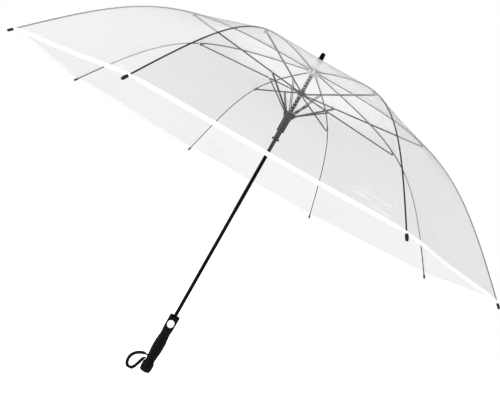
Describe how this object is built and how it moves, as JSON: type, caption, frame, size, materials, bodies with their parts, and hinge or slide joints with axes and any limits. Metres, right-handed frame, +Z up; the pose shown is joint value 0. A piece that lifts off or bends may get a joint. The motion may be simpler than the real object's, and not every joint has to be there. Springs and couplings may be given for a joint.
{
  "type": "umbrella",
  "caption": "Open clear film stick umbrella with a dished canopy, a sliding runner, a floating hub with stretchers and struts, and a straight push-button handle.",
  "frame": {"origin": "middle of the handle's grip, on the shaft's axis, 80 mm above the handle's lower end", "axes": "+Z up the shaft towards the ferrule; -Y is the side with the push button; the strap hangs at -X"},
  "size_m": [1.2658, 1.2658, 0.9833],
  "materials": {
    "shaft_black": "gloss",
    "black_nylon": "satin",
    "frosted_plastic": "satin",
    "spring_steel": "satin",
    "handle_abs": "matte",
    "button_plastic": "gloss",
    "strap_webbing": "matte",
    "rib_steel": "satin",
    "rib_fibreglass": "satin",
    "clear_film": "gloss"
  },
  "bodies": {
    "root": {"shaft_tube": "shaft_black", "top_notch": "black_nylon", "ferrule": "black_nylon", "crown_washer": "frosted_plastic", "buffer_spring": "spring_steel", "handle_grip": "handle_abs", "handle_end_cap": "handle_abs", "wrist_strap": "strap_webbing"},
    "runner": {"runner": "black_nylon", "opening_spring": "spring_steel"},
    "mid_hub": {"mid_hub": "black_nylon"},
    "push_button": {"push_button": "button_plastic"},
    "rib_inner_1": {"rib_inner_1": "rib_steel"},
    "rib_outer_1": {"rib_outer_1": "rib_fibreglass"},
    "stretcher_1": {"stretcher_1": "rib_steel"},
    "strut_1": {"strut_1": "rib_steel"},
    "gore_inner_1": {"gore_inner_1": "clear_film"},
    "gore_outer_1": {"gore_outer_1": "clear_film"},
    "rib_inner_2": {"rib_inner_2": "rib_steel"},
    "rib_outer_2": {"rib_outer_2": "rib_fibreglass"},
    "stretcher_2": {"stretcher_2": "rib_steel"},
    "strut_2": {"strut_2": "rib_steel"},
    "gore_inner_2": {"gore_inner_2": "clear_film"},
    "gore_outer_2": {"gore_outer_2": "clear_film"},
    "rib_inner_3": {"rib_inner_3": "rib_steel"},
    "rib_outer_3": {"rib_outer_3": "rib_fibreglass"},
    "stretcher_3": {"stretcher_3": "rib_steel"},
    "strut_3": {"strut_3": "rib_steel"},
    "gore_inner_3": {"gore_inner_3": "clear_film"},
    "gore_outer_3": {"gore_outer_3": "clear_film"},
    "rib_inner_4": {"rib_inner_4": "rib_steel"},
    "rib_outer_4": {"rib_outer_4": "rib_fibreglass"},
    "stretcher_4": {"stretcher_4": "rib_steel"},
    "strut_4": {"strut_4": "rib_steel"},
    "gore_inner_4": {"gore_inner_4": "clear_film"},
    "gore_outer_4": {"gore_outer_4": "clear_film"},
    "rib_inner_5": {"rib_inner_5": "rib_steel"},
    "rib_outer_5": {"rib_outer_5": "rib_fibreglass"},
    "stretcher_5": {"stretcher_5": "rib_steel"},
    "strut_5": {"strut_5": "rib_steel"},
    "gore_inner_5": {"gore_inner_5": "clear_film"},
    "gore_outer_5": {"gore_outer_5": "clear_film"},
    "rib_inner_6": {"rib_inner_6": "rib_steel"},
    "rib_outer_6": {"rib_outer_6": "rib_fibreglass"},
    "stretcher_6": {"stretcher_6": "rib_steel"},
    "strut_6": {"strut_6": "rib_steel"},
    "gore_inner_6": {"gore_inner_6": "clear_film"},
    "gore_outer_6": {"gore_outer_6": "clear_film"},
    "rib_inner_7": {"rib_inner_7": "rib_steel"},
    "rib_outer_7": {"rib_outer_7": "rib_fibreglass"},
    "stretcher_7": {"stretcher_7": "rib_steel"},
    "strut_7": {"strut_7": "rib_steel"},
    "gore_inner_7": {"gore_inner_7": "clear_film"},
    "gore_outer_7": {"gore_outer_7": "clear_film"},
    "rib_inner_8": {"rib_inner_8": "rib_steel"},
    "rib_outer_8": {"rib_outer_8": "rib_fibreglass"},
    "stretcher_8": {"stretcher_8": "rib_steel"},
    "strut_8": {"strut_8": "rib_steel"},
    "gore_inner_8": {"gore_inner_8": "clear_film"},
    "gore_outer_8": {"gore_outer_8": "clear_film"}
  },
  "joints": [
    {"name": "fold", "type": "slide", "parent": "root", "child": "runner", "axis": [0, 0, -1], "range_m": [0, 0.5757], "stiffness_N_per_m": 25, "springref_m": -0.4, "deforming": ["opening_spring", "gore_inner_1", "gore_inner_2", "gore_inner_3", "gore_inner_4", "gore_inner_5", "gore_inner_6", "gore_inner_7", "gore_inner_8", "gore_outer_1", "gore_outer_2", "gore_outer_3", "gore_outer_4", "gore_outer_5", "gore_outer_6", "gore_outer_7", "gore_outer_8"]},
    {"name": "hub_slide", "type": "slide", "parent": "root", "child": "mid_hub", "axis": [0, 0, -1], "range_m": [0, 0.6241]},
    {"name": "button_press", "type": "slide", "parent": "root", "child": "push_button", "axis": [0, 1, 0], "range_m": [0, 0.0016], "stiffness_N_per_m": 400, "springref_m": -0.002},
    {"name": "rib_root_1", "type": "hinge", "parent": "root", "child": "rib_inner_1", "pos_m": [0.01201, 0.00498, 0.831], "axis": [-0.3827, 0.9239, 0], "range_deg": [0, 78.8]},
    {"name": "rib_flex_1", "type": "hinge", "parent": "rib_inner_1", "child": "rib_outer_1", "pos_m": [0.32785, 0.1358, 0.77372], "axis": [0.3827, -0.9239, 0], "range_deg": [0, 28.92]},
    {"name": "stretcher_pivot_1", "type": "hinge", "parent": "mid_hub", "child": "stretcher_1", "pos_m": [0.00756, 0.00789, 0.762], "axis": [0.3827, -0.9239, 0], "range_deg": [0, 87.34]},
    {"name": "strut_pivot_1", "type": "hinge", "parent": "runner", "child": "strut_1", "pos_m": [0.01217, 0.0098, 0.6976], "axis": [0.3827, -0.9239, 0], "range_deg": [0, 54.66]},
    {"name": "film_root_1", "type": "hinge", "parent": "root", "child": "gore_inner_1", "pos_m": [0.00848, 0.00848, 0.833], "axis": [-0.7071, 0.7071, 0], "range_deg": [0, 75.2]},
    {"name": "film_fold_1", "type": "hinge", "parent": "gore_inner_1", "child": "gore_outer_1", "pos_m": [0.23253, 0.23253, 0.77572], "axis": [0.7071, -0.7071, 0], "range_deg": [0, 26.2]},
    {"name": "rib_root_2", "type": "hinge", "parent": "root", "child": "rib_inner_2", "pos_m": [0.00498, 0.01201, 0.831], "axis": [-0.9239, 0.3827, 0], "range_deg": [0, 78.8]},
    {"name": "rib_flex_2", "type": "hinge", "parent": "rib_inner_2", "child": "rib_outer_2", "pos_m": [0.1358, 0.32785, 0.77372], "axis": [0.9239, -0.3827, 0], "range_deg": [0, 28.92]},
    {"name": "stretcher_pivot_2", "type": "hinge", "parent": "mid_hub", "child": "stretcher_2", "pos_m": [-0.00024, 0.01092, 0.762], "axis": [0.9239, -0.3827, 0], "range_deg": [0, 87.34]},
    {"name": "strut_pivot_2", "type": "hinge", "parent": "runner", "child": "strut_2", "pos_m": [0.00168, 0.01554, 0.6976], "axis": [0.9239, -0.3827, 0], "range_deg": [0, 54.66]},
    {"name": "film_root_2", "type": "hinge", "parent": "root", "child": "gore_inner_2", "pos_m": [0, 0.012, 0.833], "axis": [-1, 0, 0], "range_deg": [0, 75.2]},
    {"name": "film_fold_2", "type": "hinge", "parent": "gore_inner_2", "child": "gore_outer_2", "pos_m": [0, 0.32885, 0.77572], "axis": [1, 0, 0], "range_deg": [0, 26.2]},
    {"name": "rib_root_3", "type": "hinge", "parent": "root", "child": "rib_inner_3", "pos_m": [-0.00498, 0.01201, 0.831], "axis": [-0.9239, -0.3827, 0], "range_deg": [0, 78.8]},
    {"name": "rib_flex_3", "type": "hinge", "parent": "rib_inner_3", "child": "rib_outer_3", "pos_m": [-0.1358, 0.32785, 0.77372], "axis": [0.9239, 0.3827, 0], "range_deg": [0, 28.92]},
    {"name": "stretcher_pivot_3", "type": "hinge", "parent": "mid_hub", "child": "stretcher_3", "pos_m": [-0.00789, 0.00756, 0.762], "axis": [0.9239, 0.3827, 0], "range_deg": [0, 87.34]},
    {"name": "strut_pivot_3", "type": "hinge", "parent": "runner", "child": "strut_3", "pos_m": [-0.0098, 0.01217, 0.6976], "axis": [0.9239, 0.3827, 0], "range_deg": [0, 54.66]},
    {"name": "film_root_3", "type": "hinge", "parent": "root", "child": "gore_inner_3", "pos_m": [-0.00848, 0.00848, 0.833], "axis": [-0.7071, -0.7071, 0], "range_deg": [0, 75.2]},
    {"name": "film_fold_3", "type": "hinge", "parent": "gore_inner_3", "child": "gore_outer_3", "pos_m": [-0.23253, 0.23253, 0.77572], "axis": [0.7071, 0.7071, 0], "range_deg": [0, 26.2]},
    {"name": "rib_root_4", "type": "hinge", "parent": "root", "child": "rib_inner_4", "pos_m": [-0.01201, 0.00498, 0.831], "axis": [-0.3827, -0.9239, 0], "range_deg": [0, 78.8]},
    {"name": "rib_flex_4", "type": "hinge", "parent": "rib_inner_4", "child": "rib_outer_4", "pos_m": [-0.32785, 0.1358, 0.77372], "axis": [0.3827, 0.9239, 0], "range_deg": [0, 28.92]},
    {"name": "stretcher_pivot_4", "type": "hinge", "parent": "mid_hub", "child": "stretcher_4", "pos_m": [-0.01092, -0.00024, 0.762], "axis": [0.3827, 0.9239, 0], "range_deg": [0, 87.34]},
    {"name": "strut_pivot_4", "type": "hinge", "parent": "runner", "child": "strut_4", "pos_m": [-0.01554, 0.00168, 0.6976], "axis": [0.3827, 0.9239, 0], "range_deg": [0, 54.66]},
    {"name": "film_root_4", "type": "hinge", "parent": "root", "child": "gore_inner_4", "pos_m": [-0.012, 0, 0.833], "axis": [0, -1, 0], "range_deg": [0, 75.2]},
    {"name": "film_fold_4", "type": "hinge", "parent": "gore_inner_4", "child": "gore_outer_4", "pos_m": [-0.32885, 0, 0.77572], "axis": [0, 1, 0], "range_deg": [0, 26.2]},
    {"name": "rib_root_5", "type": "hinge", "parent": "root", "child": "rib_inner_5", "pos_m": [-0.01201, -0.00498, 0.831], "axis": [0.3827, -0.9239, 0], "range_deg": [0, 78.8]},
    {"name": "rib_flex_5", "type": "hinge", "parent": "rib_inner_5", "child": "rib_outer_5", "pos_m": [-0.32785, -0.1358, 0.77372], "axis": [-0.3827, 0.9239, 0], "range_deg": [0, 28.92]},
    {"name": "stretcher_pivot_5", "type": "hinge", "parent": "mid_hub", "child": "stretcher_5", "pos_m": [-0.00756, -0.00789, 0.762], "axis": [-0.3827, 0.9239, 0], "range_deg": [0, 87.34]},
    {"name": "strut_pivot_5", "type": "hinge", "parent": "runner", "child": "strut_5", "pos_m": [-0.01217, -0.0098, 0.6976], "axis": [-0.3827, 0.9239, 0], "range_deg": [0, 54.66]},
    {"name": "film_root_5", "type": "hinge", "parent": "root", "child": "gore_inner_5", "pos_m": [-0.00848, -0.00848, 0.833], "axis": [0.7071, -0.7071, 0], "range_deg": [0, 75.2]},
    {"name": "film_fold_5", "type": "hinge", "parent": "gore_inner_5", "child": "gore_outer_5", "pos_m": [-0.23253, -0.23253, 0.77572], "axis": [-0.7071, 0.7071, 0], "range_deg": [0, 26.2]},
    {"name": "rib_root_6", "type": "hinge", "parent": "root", "child": "rib_inner_6", "pos_m": [-0.00498, -0.01201, 0.831], "axis": [0.9239, -0.3827, 0], "range_deg": [0, 78.8]},
    {"name": "rib_flex_6", "type": "hinge", "parent": "rib_inner_6", "child": "rib_outer_6", "pos_m": [-0.1358, -0.32785, 0.77372], "axis": [-0.9239, 0.3827, 0], "range_deg": [0, 28.92]},
    {"name": "stretcher_pivot_6", "type": "hinge", "parent": "mid_hub", "child": "stretcher_6", "pos_m": [0.00024, -0.01092, 0.762], "axis": [-0.9239, 0.3827, 0], "range_deg": [0, 87.34]},
    {"name": "strut_pivot_6", "type": "hinge", "parent": "runner", "child": "strut_6", "pos_m": [-0.00168, -0.01554, 0.6976], "axis": [-0.9239, 0.3827, 0], "range_deg": [0, 54.66]},
    {"name": "film_root_6", "type": "hinge", "parent": "root", "child": "gore_inner_6", "pos_m": [0, -0.012, 0.833], "axis": [1, 0, 0], "range_deg": [0, 75.2]},
    {"name": "film_fold_6", "type": "hinge", "parent": "gore_inner_6", "child": "gore_outer_6", "pos_m": [0, -0.32885, 0.77572], "axis": [-1, 0, 0], "range_deg": [0, 26.2]},
    {"name": "rib_root_7", "type": "hinge", "parent": "root", "child": "rib_inner_7", "pos_m": [0.00498, -0.01201, 0.831], "axis": [0.9239, 0.3827, 0], "range_deg": [0, 78.8]},
    {"name": "rib_flex_7", "type": "hinge", "parent": "rib_inner_7", "child": "rib_outer_7", "pos_m": [0.1358, -0.32785, 0.77372], "axis": [-0.9239, -0.3827, 0], "range_deg": [0, 28.92]},
    {"name": "stretcher_pivot_7", "type": "hinge", "parent": "mid_hub", "child": "stretcher_7", "pos_m": [0.00789, -0.00756, 0.762], "axis": [-0.9239, -0.3827, 0], "range_deg": [0, 87.34]},
    {"name": "strut_pivot_7", "type": "hinge", "parent": "runner", "child": "strut_7", "pos_m": [0.0098, -0.01217, 0.6976], "axis": [-0.9239, -0.3827, 0], "range_deg": [0, 54.66]},
    {"name": "film_root_7", "type": "hinge", "parent": "root", "child": "gore_inner_7", "pos_m": [0.00848, -0.00848, 0.833], "axis": [0.7071, 0.7071, 0], "range_deg": [0, 75.2]},
    {"name": "film_fold_7", "type": "hinge", "parent": "gore_inner_7", "child": "gore_outer_7", "pos_m": [0.23253, -0.23253, 0.77572], "axis": [-0.7071, -0.7071, 0], "range_deg": [0, 26.2]},
    {"name": "rib_root_8", "type": "hinge", "parent": "root", "child": "rib_inner_8", "pos_m": [0.01201, -0.00498, 0.831], "axis": [0.3827, 0.9239, 0], "range_deg": [0, 78.8]},
    {"name": "rib_flex_8", "type": "hinge", "parent": "rib_inner_8", "child": "rib_outer_8", "pos_m": [0.32785, -0.1358, 0.77372], "axis": [-0.3827, -0.9239, 0], "range_deg": [0, 28.92]},
    {"name": "stretcher_pivot_8", "type": "hinge", "parent": "mid_hub", "child": "stretcher_8", "pos_m": [0.01092, 0.00024, 0.762], "axis": [-0.3827, -0.9239, 0], "range_deg": [0, 87.34]},
    {"name": "strut_pivot_8", "type": "hinge", "parent": "runner", "child": "strut_8", "pos_m": [0.01554, -0.00168, 0.6976], "axis": [-0.3827, -0.9239, 0], "range_deg": [0, 54.66]},
    {"name": "film_root_8", "type": "hinge", "parent": "root", "child": "gore_inner_8", "pos_m": [0.012, 0, 0.833], "axis": [0, 1, 0], "range_deg": [0, 75.2]},
    {"name": "film_fold_8", "type": "hinge", "parent": "gore_inner_8", "child": "gore_outer_8", "pos_m": [0.32885, 0, 0.77572], "axis": [0, -1, 0], "range_deg": [0, 26.2]}
  ],
  "couplings": [
    {"joint": "hub_slide", "follows": "fold", "ratio": 1.0824},
    {"joint": "rib_root_1", "follows": "fold", "rad_per_m": 2.3829},
    {"joint": "rib_flex_1", "follows": "fold", "rad_per_m": 0.87078},
    {"joint": "stretcher_pivot_1", "follows": "fold", "rad_per_m": 2.6418},
    {"joint": "strut_pivot_1", "follows": "fold", "rad_per_m": 1.6509},
    {"joint": "film_root_1", "follows": "fold", "rad_per_m": 2.2737},
    {"joint": "film_fold_1", "follows": "fold", "rad_per_m": 0.78823},
    {"joint": "rib_root_2", "follows": "fold", "rad_per_m": 2.3829},
    {"joint": "rib_flex_2", "follows": "fold", "rad_per_m": 0.87078},
    {"joint": "stretcher_pivot_2", "follows": "fold", "rad_per_m": 2.6418},
    {"joint": "strut_pivot_2", "follows": "fold", "rad_per_m": 1.6509},
    {"joint": "film_root_2", "follows": "fold", "rad_per_m": 2.2737},
    {"joint": "film_fold_2", "follows": "fold", "rad_per_m": 0.78823},
    {"joint": "rib_root_3", "follows": "fold", "rad_per_m": 2.3829},
    {"joint": "rib_flex_3", "follows": "fold", "rad_per_m": 0.87078},
    {"joint": "stretcher_pivot_3", "follows": "fold", "rad_per_m": 2.6418},
    {"joint": "strut_pivot_3", "follows": "fold", "rad_per_m": 1.6509},
    {"joint": "film_root_3", "follows": "fold", "rad_per_m": 2.2737},
    {"joint": "film_fold_3", "follows": "fold", "rad_per_m": 0.78823},
    {"joint": "rib_root_4", "follows": "fold", "rad_per_m": 2.3829},
    {"joint": "rib_flex_4", "follows": "fold", "rad_per_m": 0.87078},
    {"joint": "stretcher_pivot_4", "follows": "fold", "rad_per_m": 2.6418},
    {"joint": "strut_pivot_4", "follows": "fold", "rad_per_m": 1.6509},
    {"joint": "film_root_4", "follows": "fold", "rad_per_m": 2.2737},
    {"joint": "film_fold_4", "follows": "fold", "rad_per_m": 0.78823},
    {"joint": "rib_root_5", "follows": "fold", "rad_per_m": 2.3829},
    {"joint": "rib_flex_5", "follows": "fold", "rad_per_m": 0.87078},
    {"joint": "stretcher_pivot_5", "follows": "fold", "rad_per_m": 2.6418},
    {"joint": "strut_pivot_5", "follows": "fold", "rad_per_m": 1.6509},
    {"joint": "film_root_5", "follows": "fold", "rad_per_m": 2.2737},
    {"joint": "film_fold_5", "follows": "fold", "rad_per_m": 0.78823},
    {"joint": "rib_root_6", "follows": "fold", "rad_per_m": 2.3829},
    {"joint": "rib_flex_6", "follows": "fold", "rad_per_m": 0.87078},
    {"joint": "stretcher_pivot_6", "follows": "fold", "rad_per_m": 2.6418},
    {"joint": "strut_pivot_6", "follows": "fold", "rad_per_m": 1.6509},
    {"joint": "film_root_6", "follows": "fold", "rad_per_m": 2.2737},
    {"joint": "film_fold_6", "follows": "fold", "rad_per_m": 0.78823},
    {"joint": "rib_root_7", "follows": "fold", "rad_per_m": 2.3829},
    {"joint": "rib_flex_7", "follows": "fold", "rad_per_m": 0.87078},
    {"joint": "stretcher_pivot_7", "follows": "fold", "rad_per_m": 2.6418},
    {"joint": "strut_pivot_7", "follows": "fold", "rad_per_m": 1.6509},
    {"joint": "film_root_7", "follows": "fold", "rad_per_m": 2.2737},
    {"joint": "film_fold_7", "follows": "fold", "rad_per_m": 0.78823},
    {"joint": "rib_root_8", "follows": "fold", "rad_per_m": 2.3829},
    {"joint": "rib_flex_8", "follows": "fold", "rad_per_m": 0.87078},
    {"joint": "stretcher_pivot_8", "follows": "fold", "rad_per_m": 2.6418},
    {"joint": "strut_pivot_8", "follows": "fold", "rad_per_m": 1.6509},
    {"joint": "film_root_8", "follows": "fold", "rad_per_m": 2.2737},
    {"joint": "film_fold_8", "follows": "fold", "rad_per_m": 0.78823}
  ]
}
